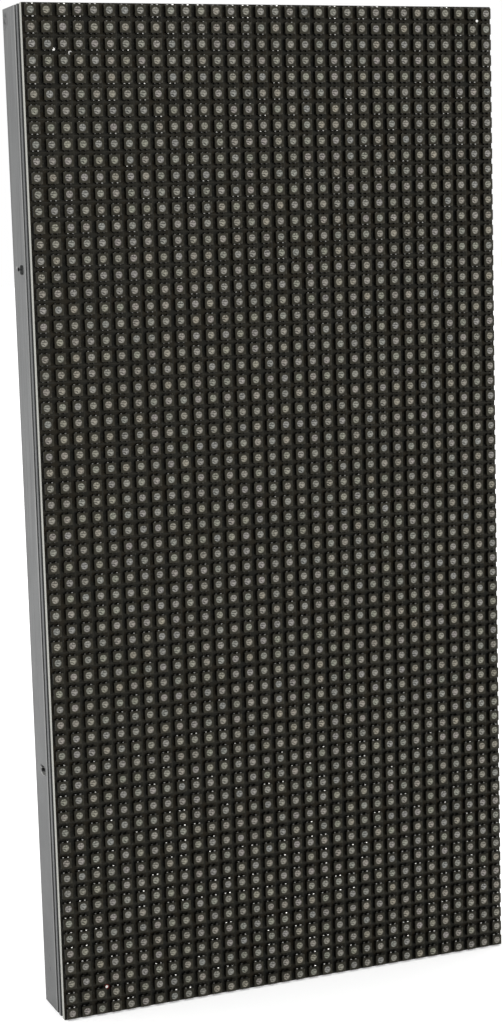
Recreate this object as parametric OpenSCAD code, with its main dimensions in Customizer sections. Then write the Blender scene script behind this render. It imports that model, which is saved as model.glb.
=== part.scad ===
// LED dot matrix module.
// A portrait tile of surface-mounted LED packages on a black board, carried by
// a moulded rear frame that holds threaded inserts for fixing the tile to a wall.
// It stands on its short lower edge, faces -Y, and its origin is the centre of
// its footprint. Millimetres.

/* [Matrix] */
// Distance from one LED to the next, both ways
pitch = 3; // [2.9:0.05:4]
// LED columns across the width
columns = 32; // [28:4:48]
// LED rows up the height
rows = 64; // [56:8:96]
// Side of one square LED package
led_size = 2.1; // [1.6:0.1:2.5]
// Height of one LED package above the board
led_height = 1.05; // [0.8:0.05:1.4]
// Gap left between this tile and the next one
seam = 0.2; // [0.1:0.1:0.6]

/* [Board] */
// Thickness of the printed circuit board
board_t = 1.2; // [0.8:0.1:2]

/* [Rear frame] */
// Depth of the frame behind the board
frame_depth = 11.6; // [11:0.2:18]
// Thickness of the outer wall
side_wall = 1.8; // [1.4:0.1:2.6]
// Thickness of the inner walls round each window
inner_wall = 1.5; // [1:0.1:2]
// Thickness of the floor that lies on the board
floor_t = 1.5; // [1:0.1:2.5]
// Width of the two cross bars between the windows
bar_w = 10; // [9:0.5:14]
// Thickness of the stiffening ribs
rib_t = 1.2; // [0.8:0.1:2]
// How far the ribs and inner walls stop short of the rear plane
rib_drop = 1; // [0.5:0.1:2]
// Distance between stiffening ribs, at most
rib_step = 15; // [10:1:24]
// Height of the groove beside the board
front_groove_w = 1.2; // [0.8:0.1:1.6]
// Height of the thin bead between the two grooves
bead_w = 1; // [0.6:0.1:1.4]
// Height of the groove behind the bead
rear_groove_w = 0.9; // [0.6:0.1:1.2]
// How deep both grooves are
groove_depth = 0.7; // [0.3:0.1:0.9]
// Chamfer along the rear outer edges
edge_chamfer = 0.6; // [0.2:0.1:1]
// Height of the oval dimples in the two long sides
dimple_w = 1.8; // [1.2:0.1:2.4]
// Length of those dimples from front to rear
dimple_l = 2.8; // [2.6:0.1:4]
// Depth of those dimples
dimple_depth = 0.5; // [0.2:0.1:0.8]
// Distance from the rear groove back to the middle of a dimple
dimple_inset = 2.6; // [2.2:0.1:4]

/* [Fixings] */
// Distance from the tile's edge to the centre of each wall fixing
mount_inset = 5.9; // [5.5:0.1:8]
// Tapping bore of the threaded inserts (M3)
insert_bore_d = 2.5; // [2:0.1:3]
// Outer diameter of the threaded inserts
insert_d = 4.2; // [4:0.1:5]
// Length of the threaded inserts
insert_length = 6; // [4:0.5:8]
// Wall of plastic round an insert
insert_boss_wall = 1.6; // [1.2:0.1:2]
// Shank diameter of the screws that hold the board
screw_d = 2.5; // [2:0.1:3]
// Head diameter of those screws
screw_head_d = 4.6; // [4:0.1:5.5]
// Head height of those screws
screw_head_h = 1.6; // [1:0.1:2.2]
// Outer diameter of the nuts soldered to the board
nut_d = 5; // [4.5:0.1:5.6]
// Height of those nuts
nut_h = 2.8; // [2:0.1:4]
// Thickness of frame clamped under each screw head
clamp_t = 1.2; // [0.8:0.1:2]
// Wall of plastic round a nut
nut_boss_wall = 1.2; // [0.8:0.1:1.8]
// Length of one arm pair of the cross recess in a screw head
recess_l = 2.6; // [2:0.1:3]
// Width of an arm of that recess
recess_w = 0.6; // [0.4:0.1:0.8]
// Clearance round nuts and screws in the frame
fixing_clearance = 0.2; // [0.1:0.05:0.3]

/* [Data headers] */
// Pin pitch of the data headers
data_pitch = 2.54; // [2:0.27:2.54]
// Pins in each of the two rows
data_pins = 8; // [5:1:9]
// Side of a square data pin
data_pin_w = 0.64; // [0.5:0.02:0.8]
// Plastic beyond the last pin, to the end of the shroud
shroud_end = 5; // [4:0.1:6]
// Width of the shroud
shroud_w = 8.9; // [8:0.1:10]
// Height of the shroud
shroud_h = 9.1; // [8.5:0.1:10]
// Wall of the shroud
shroud_wall = 1.1; // [0.8:0.1:1.4]
// Floor of the shroud
shroud_floor = 2.5; // [2:0.1:3]
// Width of the keying slot
key_w = 4.5; // [3.5:0.1:5]
// Distance from pin tips to the shroud's rim
pin_recess = 0.9; // [0.5:0.1:1.5]
// Length of the tapered tip of a data pin
pin_point = 0.6; // [0.3:0.1:1]

/* [Power header] */
// Pin pitch of the power header
power_pitch = 3.96; // [3:0.12:3.96]
// Number of power pins
power_pins = 4; // [2:1:5]
// Side of a square power pin
power_pin_w = 1.14; // [0.8:0.02:1.3]
// Plastic beyond the last power pin
power_end = 1.96; // [1.6:0.1:3]
// Depth of the power header's base
power_base_w = 8.5; // [7:0.1:9]
// Height of that base
power_base_h = 3.4; // [2.5:0.1:4]
// Thickness of the latch wall
latch_t = 1.3; // [1:0.1:1.8]
// Height of the latch wall and of the pins
latch_h = 9.6; // [8:0.1:10]
// How far the ridge on the latch wall stands out over the base
latch_ridge = 0.45; // [0.2:0.05:0.8]
// Height of that ridge, from its foot to the top of the wall
latch_ridge_h = 1.7; // [1.2:0.1:2.4]
// Length of the tapered tip of a power pin
power_pin_point = 0.9; // [0.5:0.1:1.4]

/* [Chips] */
// Height of every flat chip above the board
chip_h = 1.6; // [1:0.1:2]
// Air under each chip
chip_standoff = 0.15; // [0.1:0.05:0.3]
// How far a chip's long sides slope in, above and below its leads
chip_draft = 0.12; // [0.05:0.01:0.2]
// Thickness of a chip's leads
lead_t = 0.2; // [0.15:0.05:0.3]
// Body length of a column driver
driver_length = 8.7; // [7.5:0.1:9.5]
// Body width of a column driver
driver_w = 3.9; // [3:0.1:4.4]
// Width of a column driver over its leads
driver_span = 6; // [5.4:0.1:6.6]
// Leads on each side of a column driver
driver_leads = 12; // [8:1:12]
// Lead pitch of a column driver
driver_lead_pitch = 0.635; // [0.5:0.005:0.635]
// Width of a column driver's leads
driver_lead_w = 0.25; // [0.18:0.01:0.3]
// Body length of a signal buffer
buffer_length = 12.8; // [12:0.1:13.4]
// Body width of a signal buffer
buffer_w = 7.5; // [6:0.1:8]
// Width of a signal buffer over its leads
buffer_span = 10.3; // [9.6:0.1:10.8]
// Leads on each side of a signal buffer
buffer_leads = 10; // [6:1:10]
// Body length of a row decoder
decoder_length = 9.9; // [9.5:0.1:10.4]
// Leads on each side of a row decoder
decoder_leads = 8; // [4:1:8]
// Body length of a row switch
switch_length = 4.9; // [4.6:0.1:5.4]
// Leads on each side of a row switch
switch_leads = 4; // [2:1:4]
// Body width of decoders and row switches
narrow_w = 3.9; // [3.5:0.1:4.4]
// Width of decoders and row switches over their leads
narrow_span = 6; // [5.4:0.1:6.6]
// Lead pitch of buffers, decoders and row switches
wide_lead_pitch = 1.27; // [1:0.01:1.27]
// Width of those leads
wide_lead_w = 0.42; // [0.3:0.02:0.5]
// Gap between a side chip and the window's inner wall
side_gap = 3; // [2:0.5:4]
// Gap between the drivers and the window's upper and lower walls
driver_gap = 2.6; // [1.5:0.1:4]

/* [Capacitors and resistors] */
// Diameter of a can capacitor
can_d = 6.3; // [5:0.1:8]
// Height of a can capacitor
can_h = 7.7; // [5.4:0.1:9]
// Thickness of its plastic base
can_base_h = 1; // [0.6:0.1:1.4]
// Distance from the base to the middle of the can's crimped groove
can_groove_up = 1; // [0.8:0.1:1.6]
// Depth of that groove
can_groove_depth = 0.2; // [0.1:0.05:0.3]
// Half the height of that groove
can_groove_half = 0.4; // [0.3:0.1:0.6]
// Slope round the top of the can
can_shoulder = 0.35; // [0.2:0.05:0.6]
// How far the square base stands out round the can
can_base_lip = 0.15; // [0.1:0.05:0.3]
// Corner cut off the base beside its positive end
can_base_cut = 1.2; // [0.8:0.1:1.8]
// Gap beside the power header and between the can capacitors
can_gap = 2; // [1:0.1:2.5]
// Length of ceramic capacitors and chip resistors
small_length = 1.6; // [1:0.1:2]
// Width of ceramic capacitors and chip resistors
small_w = 0.8; // [0.5:0.05:1.2]
// Height of a ceramic capacitor
ceramic_h = 0.8; // [0.5:0.05:1.2]
// Height of a chip resistor
resistor_h = 0.5; // [0.3:0.05:0.6]
// Gap between a driver's leads and the small parts beside it
small_gap = 1; // [0.5:0.1:1.4]

/* [Hidden] */

$fn = 48;
overcut = 1;
// Share of a lead's reach that stays level before it slopes down
shoulder_share = 1 / 3;

// Overall sizes
tile_w = columns * pitch - seam;
tile_h = rows * pitch - seam;
tile_depth = led_height + board_t + frame_depth;

// Depth levels, from the LED faces at the front to the rear plane
y_front = -tile_depth / 2;
y_board = y_front + led_height;
y_back = y_board + board_t;
y_rear = y_back + frame_depth;

// LED blocks: two across and four up, so each node holds an eighth of the tile
blocks_across = 2;
blocks_up = 4;
block_columns = columns / blocks_across;
block_rows = rows / blocks_up;

// Frame windows: three, one above the other, inside a band two insets wide
window_count = 3;
band_w = 2 * mount_inset;
window_w = tile_w - 2 * band_w;
window_h = (tile_h - 2 * band_w - (window_count - 1) * bar_w) / window_count;
window_step = window_h + bar_w;
rib_rear = y_rear - rib_drop;

// Fixings
mount_x = tile_w / 2 - mount_inset;
mount_z = tile_h / 2 - mount_inset;
nut_pocket_h = nut_h + fixing_clearance;
nut_pocket_d = nut_d + 2 * fixing_clearance;
clamp_rear = y_back + nut_pocket_h + clamp_t;
screw_x = window_w / 4;
screw_zs = [-mount_z, -window_step / 2, window_step / 2, mount_z];
dimple_z = tile_h / 4;
dimple_y = y_back + front_groove_w + bead_w + rear_groove_w + dimple_inset;

// Headers
shroud_length = (data_pins - 1) * data_pitch + 2 * shroud_end;
power_length = (power_pins - 1) * power_pitch + 2 * power_end;

// Chips: four columns of drivers, above and below the middle of each window
driver_columns = 4;
driver_step = window_w / driver_columns;
driver_z = window_h / 2 - driver_gap - driver_length / 2;
switch_z = (power_base_w / 2 + driver_z - driver_length / 2) / 2;
small_x = driver_span / 2 + small_gap + small_w / 2;
can_base = can_d + 2 * can_base_lip;
can_x = power_length / 2 + can_gap + can_base / 2;

// Middle of a window: -1 is the lowest window, 0 the middle one and 1 the highest
function window_z(i) = i * window_step;

// Places along a length, ends left out, evenly spaced and no further apart than step
function spread(length, step) =
  let (n = ceil(length / step)) [for (i = [1:n - 1]) (i / n - 0.5) * length];

// Places of n things in a row, step apart, about the middle
function row_of(n, step) = [for (i = [0:n - 1]) (i - (n - 1) / 2) * step];

// Extrudes a flat shape, drawn across and up, from depth y0 to depth y1
module along_y(y0, y1) {
  translate([0, y1, 0]) rotate([90, 0, 0]) linear_extrude(y1 - y0) children();
}

// Lifts the tile so that it stands on z = 0
module standing() {
  translate([0, 0, tile_h / 2]) children();
}

// Flat outline of the tile, drawn in by inset
module outline(inset = 0) {
  square([tile_w - 2 * inset, tile_h - 2 * inset], center = true);
}

// The three windows, grown by grow on every side
module windows(grow = 0) {
  for (i = [-1:1])
    translate([0, window_z(i)])
      square([window_w + 2 * grow, window_h + 2 * grow], center = true);
}

// Flat shape at each of the two cross bars
module at_bars() {
  for (s = [-1, 1]) translate([0, s * window_step / 2]) children();
}

// Flat shape at each of the six wall fixings
module at_mounts() {
  for (x = [-mount_x, mount_x], z = [-mount_z, 0, mount_z])
    translate([x, z]) children();
}

// Flat shape at each of the eight board screws
module at_screws() {
  for (x = [-screw_x, screw_x], z = screw_zs)
    translate([x, z]) children();
}

// Cutter for a groove that runs round the outer wall
module wall_groove(y0, y1) {
  along_y(y0, y1) difference() {
    outline(-overcut);
    outline(groove_depth);
  }
}

// Cutter for the chamfer on an edge that runs along X
module edge_cutter(length) {
  side = edge_chamfer * sqrt(2);
  rotate([45, 0, 0]) cube([length, side, side], center = true);
}

// Printed circuit board
module led_board() {
  color("#20231f") standing() along_y(y_board, y_back) outline();
}

// One block of LED packages: across and up count the blocks from the lower left
module led_packages(across, up) {
  color("#232323") standing()
    for (c = [0:block_columns - 1], r = [0:block_rows - 1])
      translate([
        (across * block_columns + c - (columns - 1) / 2) * pitch - led_size / 2,
        y_front,
        (up * block_rows + r - (rows - 1) / 2) * pitch - led_size / 2
      ])
        cube([led_size, led_height, led_size]);
}

// Stiffening ribs across the channels of the bands and bars
module frame_ribs() {
  along_y(y_back, rib_rear) {
    for (s = [-1, 1], z = spread(tile_h, rib_step))
      translate([s * mount_x, z]) square([band_w - side_wall, rib_t], center = true);
    for (s = [-1, 1], x = spread(tile_w, rib_step))
      translate([x, s * mount_z]) square([rib_t, band_w - side_wall], center = true);
    at_bars() for (x = spread(window_w, rib_step))
      translate([x, 0]) square([rib_t, bar_w - inner_wall], center = true);
  }
}

// Walls, floor, ribs and bosses of the rear frame, before anything is cut away
module frame_blank() {
  along_y(y_back, y_back + floor_t) difference() {
    outline();
    windows();
  }
  along_y(y_back, y_rear) difference() {
    outline();
    outline(side_wall);
  }
  along_y(y_back, rib_rear) difference() {
    square([window_w, tile_h - 2 * band_w] + [2, 2] * inner_wall, center = true);
    windows();
    at_bars() square([window_w, bar_w - 2 * inner_wall], center = true);
  }
  frame_ribs();
  along_y(y_back, y_rear) at_mounts() circle(d = insert_d + 2 * insert_boss_wall);
  along_y(y_back, rib_rear) at_screws() circle(d = nut_pocket_d + 2 * nut_boss_wall);
}

// One oval dimple, lying along Y
module dimple(h) {
  run = dimple_l - dimple_w;
  for (t = [-0.5, 0.5]) translate([0, t * run, 0]) cylinder(d = dimple_w, h = h);
  translate([-dimple_w / 2, -run / 2, 0]) cube([dimple_w, run, h]);
}

// Grooves and dimples in the outer wall, and the chamfer round the rear
module frame_side_cuts() {
  bead_y0 = y_back + front_groove_w;
  bead_y1 = bead_y0 + bead_w;
  wall_groove(y_back - overcut, bead_y0);
  wall_groove(bead_y1, bead_y1 + rear_groove_w);
  for (s = [-1, 1]) {
    translate([0, y_rear, s * tile_h / 2]) edge_cutter(tile_w + 2 * overcut);
    translate([s * tile_w / 2, y_rear, 0]) rotate([0, 90, 0])
      edge_cutter(tile_h + 2 * overcut);
    for (z = [-dimple_z, dimple_z])
      translate([s * (tile_w / 2 - dimple_depth), dimple_y, z])
        rotate([0, s * 90, 0]) dimple(dimple_depth + overcut);
  }
}

// Moulded rear frame
module rear_frame() {
  color("#3a3b3b") standing() difference() {
    frame_blank();
    frame_side_cuts();
    along_y(y_rear - insert_length, y_rear + overcut) at_mounts() circle(d = insert_d);
    along_y(y_back - overcut, y_back + nut_pocket_h) at_screws()
      circle(d = nut_pocket_d);
    along_y(y_back, y_rear) at_screws() circle(d = screw_d + 2 * fixing_clearance);
    along_y(clamp_rear, y_rear) at_screws()
      circle(d = screw_head_d + 2 * fixing_clearance);
  }
}

// Threaded inserts pressed into the frame, open to the rear
module mount_inserts() {
  color("#b08d4f") standing()
    along_y(y_rear - insert_length, y_rear) at_mounts() difference() {
      circle(d = insert_d);
      circle(d = insert_bore_d);
    }
}

// Round nuts soldered to the back of the board
module solder_nuts() {
  color("#c9c9c4") standing()
    along_y(y_back, y_back + nut_h) at_screws() difference() {
      circle(d = nut_d);
      circle(d = screw_d);
    }
}

// Pan-head screws that clamp the frame to those nuts
module board_screws() {
  color("#a9abad") standing() {
    along_y(y_back + fixing_clearance, clamp_rear) at_screws() circle(d = screw_d);
    along_y(clamp_rear, clamp_rear + screw_head_h) at_screws() difference() {
      circle(d = screw_head_d);
      square([recess_l, recess_w], center = true);
      square([recess_w, recess_l], center = true);
    }
  }
}

// Square pin, w wide and h high, tapered to half its width over the last point
module square_pin(w, h, point) {
  side = [[-w / 2, 0], [w / 2, 0], [w / 2, h - point], [w / 4, h], [-w / 4, h],
    [-w / 2, h - point]];
  translate([0, y_back, 0]) intersection() {
    linear_extrude(w, center = true) polygon(side);
    rotate([0, 90, 0]) linear_extrude(w, center = true) polygon(side);
  }
}

// Places of the pins in one data header
module at_data_pins() {
  for (x = row_of(data_pins, data_pitch), z = row_of(2, data_pitch))
    translate([x, 0, z]) children();
}

// Shroud of one data header, in window i
module data_shroud(i) {
  floor_y = y_back + shroud_floor;
  rim_y = y_back + shroud_h;
  color("#1b1c1d") standing() translate([0, 0, window_z(i)]) difference() {
    along_y(y_back, rim_y) square([shroud_length, shroud_w], center = true);
    along_y(floor_y, rim_y + overcut)
      square([shroud_length - 2 * shroud_wall, shroud_w - 2 * shroud_wall], center = true);
    along_y(floor_y, rim_y + overcut) translate([0, -shroud_w / 2])
      square([key_w, 3 * shroud_wall], center = true);
    at_data_pins() along_y(y_back - overcut, rim_y) square(data_pin_w, center = true);
  }
}

// Pins of one data header, in window i
module data_header_pins(i) {
  color("#c9ab63") standing() translate([0, 0, window_z(i)])
    at_data_pins() square_pin(data_pin_w, shroud_h - pin_recess, pin_point);
}

// Places of the power pins
module at_power_pins() {
  for (x = row_of(power_pins, power_pitch)) translate([x, 0, 0]) children();
}

// Latch wall of the power header: its profile, with the ridge, runs along X
module latch_wall() {
  outer = power_base_w / 2;
  inner = outer - latch_t;
  ridge_mid = latch_h - latch_ridge_h / 2;
  translate([0, y_back, 0]) rotate([0, -90, 0])
    linear_extrude(power_length - power_pitch, center = true)
      polygon([[outer, 0], [outer, latch_h], [inner, latch_h],
        [inner - latch_ridge, ridge_mid], [inner, latch_h - latch_ridge_h], [inner, 0]]);
}

// Base and latch wall of the power header, in the middle window
module power_header_body() {
  color("#dcd9cc") standing() {
    difference() {
      along_y(y_back, y_back + power_base_h)
        square([power_length, power_base_w], center = true);
      at_power_pins() along_y(y_back - overcut, y_back + power_base_h + overcut)
        square(power_pin_w, center = true);
    }
    latch_wall();
  }
}

// Pins of the power header
module power_header_pins() {
  color("#c4c6c8") standing()
    at_power_pins() square_pin(power_pin_w, latch_h, power_pin_point);
}

// One bent lead of a chip: a shoulder, and a shin that slopes down to the board
module chip_lead(w, span, lead_w) {
  root = w / 2 - lead_t;
  knee = w / 2 + shoulder_share * (span - w) / 2;
  reach = span / 2;
  mid = chip_h / 2;
  translate([0, y_back, -lead_w / 2]) linear_extrude(lead_w)
    polygon([[root, mid], [root, mid + lead_t], [knee + lead_t, mid + lead_t],
      [reach, 0], [reach - 2 * lead_t, 0], [knee, mid]]);
}

// One flat chip on the board: its length runs up and its leads stick out sideways
module chip(length, w, span, leads, lead_pitch, lead_w) {
  foot = w / 2 - chip_draft;
  translate([0, y_back, 0]) linear_extrude(length, center = true)
    polygon([[-foot, chip_standoff], [foot, chip_standoff], [w / 2, chip_h / 2],
      [foot, chip_h], [-foot, chip_h], [-w / 2, chip_h / 2]]);
  for (z = row_of(leads, lead_pitch), s = [0, 1])
    translate([0, 0, z]) mirror([s, 0, 0]) chip_lead(w, span, lead_w);
}

// Solid at each of the drivers: eight to a window
module at_drivers() {
  for (i = [-1:1], x = row_of(driver_columns, driver_step), s = [-1, 1])
    translate([x, 0, window_z(i) + s * driver_z]) children();
}

// Column drivers
module driver_chips() {
  color("#26272a") standing() at_drivers()
    chip(driver_length, driver_w, driver_span, driver_leads, driver_lead_pitch,
      driver_lead_w);
}

// Signal buffers on either side of the data input
module buffer_chips() {
  x = window_w / 2 - side_gap - buffer_span / 2;
  color("#26272a") standing() for (s = [-1, 1])
    translate([s * x, 0, window_z(-1)])
      chip(buffer_length, buffer_w, buffer_span, buffer_leads, wide_lead_pitch,
        wide_lead_w);
}

// Row decoders on either side of the data output
module decoder_chips() {
  x = window_w / 2 - side_gap - narrow_span / 2;
  color("#26272a") standing() for (s = [-1, 1])
    translate([s * x, 0, window_z(1)])
      chip(decoder_length, narrow_w, narrow_span, decoder_leads, wide_lead_pitch,
        wide_lead_w);
}

// Row switches above and below the power header
module row_switch_chips() {
  color("#26272a") standing()
    for (x = row_of(driver_columns, driver_step), s = [-1, 1])
      translate([x, 0, s * switch_z])
        chip(switch_length, narrow_w, narrow_span, switch_leads, wide_lead_pitch,
          wide_lead_w);
}

// Places of the four can capacitors beside the power header
module at_cans() {
  for (s = [-1, 1], i = [0, 1])
    translate([s * (can_x + i * (can_base + can_gap)), 0, 0]) children();
}

// Square plastic bases of the can capacitors, with two corners cut off
module capacitor_bases() {
  h = can_base / 2;
  cut = h - can_base_cut;
  color("#191919") standing() along_y(y_back, y_back + can_base_h) at_cans()
    polygon([[-h, -h], [h, -h], [h, cut], [cut, h], [-cut, h], [-h, cut]]);
}

// Aluminium cans of those capacitors
module capacitor_cans() {
  r = can_d / 2;
  groove = can_base_h + can_groove_up;
  color("#c8cacc") standing() translate([0, y_back, 0]) at_cans()
    rotate([-90, 0, 0]) rotate_extrude()
      polygon([[0, can_base_h], [r, can_base_h], [r, groove - can_groove_half],
        [r - can_groove_depth, groove], [r, groove + can_groove_half],
        [r, can_h - can_shoulder], [r - can_shoulder, can_h], [0, can_h]]);
}

// Ceramic capacitors, one on the right of each driver
module ceramic_capacitors() {
  color("#b39a73") standing() at_drivers()
    along_y(y_back, y_back + ceramic_h) translate([small_x, 0])
      square([small_w, small_length], center = true);
}

// Chip resistors, one on the left of each driver
module chip_resistors() {
  color("#1d1f22") standing() at_drivers()
    along_y(y_back, y_back + resistor_h) translate([-small_x, 0])
      square([small_w, small_length], center = true);
}

led_board();
led_packages(0, 0);  // led_packages_1
led_packages(1, 0);  // led_packages_2
led_packages(0, 1);  // led_packages_3
led_packages(1, 1);  // led_packages_4
led_packages(0, 2);  // led_packages_5
led_packages(1, 2);  // led_packages_6
led_packages(0, 3);  // led_packages_7
led_packages(1, 3);  // led_packages_8
rear_frame();
mount_inserts();
solder_nuts();
board_screws();
data_shroud(-1);  // data_in_shroud
data_header_pins(-1);  // data_in_pins
data_shroud(1);  // data_out_shroud
data_header_pins(1);  // data_out_pins
power_header_body();
power_header_pins();
driver_chips();
buffer_chips();
decoder_chips();
row_switch_chips();
capacitor_bases();
capacitor_cans();
ceramic_capacitors();
chip_resistors();
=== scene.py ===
"""LED matrix tile, dressed round its CAD frame, in metres.

The script follows the tile as it is put together: the board, the LED packages on its
front, the parts soldered to its back, the moulded rear frame and its fixings, and last
the floor, the light and the camera.
"""
import math
import random

import bmesh
import bpy
from mathutils import Euler, Matrix, Vector


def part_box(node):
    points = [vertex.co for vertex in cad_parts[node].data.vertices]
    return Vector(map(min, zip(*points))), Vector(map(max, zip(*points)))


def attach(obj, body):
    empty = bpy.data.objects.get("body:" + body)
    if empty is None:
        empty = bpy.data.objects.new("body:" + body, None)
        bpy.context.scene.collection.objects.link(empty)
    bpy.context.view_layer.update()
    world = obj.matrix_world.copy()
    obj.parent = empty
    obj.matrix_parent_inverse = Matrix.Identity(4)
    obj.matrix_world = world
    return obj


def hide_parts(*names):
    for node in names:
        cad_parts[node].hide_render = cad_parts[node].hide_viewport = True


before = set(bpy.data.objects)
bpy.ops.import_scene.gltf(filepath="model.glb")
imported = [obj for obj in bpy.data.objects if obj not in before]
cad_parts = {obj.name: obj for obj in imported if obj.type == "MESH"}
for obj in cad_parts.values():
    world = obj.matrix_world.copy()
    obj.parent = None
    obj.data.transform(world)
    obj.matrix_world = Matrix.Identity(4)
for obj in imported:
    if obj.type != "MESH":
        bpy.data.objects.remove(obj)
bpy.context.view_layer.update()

# --------------------------------------------------------------------
# Printed circuit board
# A 1.2 mm glass-epoxy laminate under black solder mask. The mask is matt, with faint
# tracks and filled vias under it; the sawn edges show the bare yellow-green laminate.
# --------------------------------------------------------------------
MM = 0.001
board_low, board_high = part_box("led_board")
board_front = board_low.y
board_back = board_high.y
board_middle = (board_low.z + board_high.z) / 2
MASK_WARM = (0.0066, 0.0045, 0.0025, 1)
MASK_COOL = (0.0038, 0.0044, 0.0050, 1)
MASK_OVER_TRACK = (0.0120, 0.0116, 0.0104, 1)
LAMINATE = (0.42, 0.42, 0.385, 1)
LAMINATE_DARK = (0.26, 0.26, 0.235, 1)
GLEAM_TINT = (1.0, 0.96, 0.76, 1)
MASK_SPECK = (0.11, 0.105, 0.092, 1)
TRACK_GRID = 1.5
TRACK_HALF = 0.16
VIA_RADIUS = 0.22
# Places of bare spots, from the middle of the board.
SPOT_UPPER_LEFT = (-42.1, 87.6)
SPOT_UPPER_RIGHT = (45.0, 93.2)
SPOT_LOWER_LEFT = (-39.1, -90.6)
FILLED_HOLE = (-39.0, 86.95)
TIN = (0.86, 0.85, 0.82, 1)
COPPER = (0.15, 0.012, 0.010, 1)


def put(tree, kind, **settings):
    """Adds one node to a tree. Settings with a capital first letter are its inputs."""
    node = tree.nodes.new("ShaderNode" + kind)
    for name, value in settings.items():
        if name[0].isupper():
            socket = node.inputs[name.replace("_", " ")]
            if isinstance(value, bpy.types.NodeSocket):
                tree.links.new(value, socket)
            else:
                socket.default_value = value
        else:
            setattr(node, name, value)
    return node


def calc(tree, operation, *terms, clamp=False):
    """A Math node; each term is a socket or a number. Returns its value."""
    node = tree.nodes.new("ShaderNodeMath")
    node.operation = operation
    node.use_clamp = clamp
    for socket, term in zip(node.inputs, terms):
        if isinstance(term, bpy.types.NodeSocket):
            tree.links.new(term, socket)
        else:
            socket.default_value = term
    return node.outputs["Value"]


def times(tree, first, second):
    """The product of two values."""
    return calc(tree, "MULTIPLY", first, second)


def most(tree, first, *others):
    """The largest of some values."""
    for other in others:
        first = calc(tree, "MAXIMUM", first, other)
    return first


def distance(tree, first, second):
    """The length of a step of first one way and second at right angles to it."""
    return calc(tree, "SQRT", calc(tree, "ADD", times(tree, first, first), times(tree, second, second)))


def spread(tree, value, low, high, new_low, new_high):
    """Carries value from one range to another, held at the ends. Returns the result."""
    node = put(tree, "MapRange", Value=value)
    for name, limit in (("From Min", low), ("From Max", high),
                        ("To Min", new_low), ("To Max", new_high)):
        node.inputs[name].default_value = limit
    return node.outputs["Result"]


def mix(tree, factor, first, second):
    """Blends two colours by factor. Returns the colour."""
    node = tree.nodes.new("ShaderNodeMix")
    node.data_type = "RGBA"
    node.clamp_factor = True
    for name, value in (("Factor", factor), ("A", first), ("B", second)):
        socket = next(s for s in node.inputs if s.name == name and s.enabled)
        if isinstance(value, bpy.types.NodeSocket):
            tree.links.new(value, socket)
        else:
            socket.default_value = value
    return next(s for s in node.outputs if s.enabled)


def place_mm(tree):
    """The point on the surface, in millimetres of the tile's own frame, as a vector."""
    where = put(tree, "TexCoord").outputs["Object"]
    return put(tree, "VectorMath", operation="SCALE", Vector=where, Scale=1000).outputs[0]


def parts_of(tree, vector):
    """The X, Y and Z values of a vector."""
    return put(tree, "SeparateXYZ", Vector=vector).outputs


def new_finish(name, **settings):
    """A material with one Principled shader. Returns the material, tree and shader."""
    material = bpy.data.materials.new(name)
    material.use_nodes = True
    tree = material.node_tree
    tree.nodes.clear()
    shader = put(tree, "BsdfPrincipled", **settings)
    output = put(tree, "OutputMaterial")
    tree.links.new(shader.outputs["BSDF"], output.inputs["Surface"])
    return material, tree, shader


def feed(tree, shader, **sockets):
    """Links values to a shader's inputs."""
    for name, value in sockets.items():
        tree.links.new(value, shader.inputs[name.replace("_", " ")])


def bump(tree, height, depth, normal=None):
    """A Bump node for a height in millimetres. Returns the normal."""
    node = put(tree, "Bump", Height=height, Strength=1.0, Distance=depth * MM)
    if normal is not None:
        tree.links.new(normal, node.inputs["Normal"])
    return node.outputs["Normal"]


def new_group(name, inputs, outputs):
    """An empty shader node group with float inputs (and their defaults) and outputs."""
    group = bpy.data.node_groups.new(name, "ShaderNodeTree")
    for label, value in inputs.items():
        socket = group.interface.new_socket(label, in_out="INPUT", socket_type="NodeSocketFloat")
        socket.default_value = value
    for label, kind in outputs.items():
        group.interface.new_socket(label, in_out="OUTPUT", socket_type="NodeSocket" + kind)
    return group, group.nodes.new("NodeGroupInput").outputs, group.nodes.new("NodeGroupOutput").inputs


def use_group(tree, group, **values):
    """Places a group in a material with its own values. Returns its outputs."""
    node = tree.nodes.new("ShaderNodeGroup")
    node.node_tree = group
    for name, value in values.items():
        node.inputs[name.replace("_", " ")].default_value = value
    return node.outputs


def wear_finish(node_name, material):
    """Gives a CAD node its finish."""
    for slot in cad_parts[node_name].material_slots:
        slot.material = material


# Grain: fine pits and slow cloudiness, for mask, resin and moulded plastic alike.
grain, grain_in, grain_out = new_group(
    "surface_grain", {"Grains per mm": 4.0, "Clouds per mm": 0.05},
    {"Height": "Float", "Clouds": "Float"})
point = place_mm(grain)
fine = put(grain, "TexNoise", Vector=point, Detail=3.0, Roughness=0.6)
grain.links.new(grain_in["Grains per mm"], fine.inputs["Scale"])
slow = put(grain, "TexNoise", Vector=point, Detail=4.0, Roughness=0.65)
grain.links.new(grain_in["Clouds per mm"], slow.inputs["Scale"])
grain.links.new(fine.outputs[0], grain_out["Height"])
grain.links.new(slow.outputs[0], grain_out["Clouds"])

# Dust: sparse pale specks, each a fraction of a millimetre across.
dust, dust_in, dust_out = new_group(
    "dust_specks", {"Cells per mm": 1.2, "Share": 0.12, "Size": 0.12}, {"Mask": "Float"})
cells = put(dust, "TexVoronoi", feature="F1", Vector=place_mm(dust))
dust.links.new(dust_in["Cells per mm"], cells.inputs["Scale"])
chosen = calc(dust, "LESS_THAN", parts_of(dust, cells.outputs["Color"])["X"], dust_in["Share"])
near = calc(dust, "LESS_THAN", cells.outputs["Distance"], dust_in["Size"])
dust.links.new(times(dust, chosen, near), dust_out["Mask"])

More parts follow.
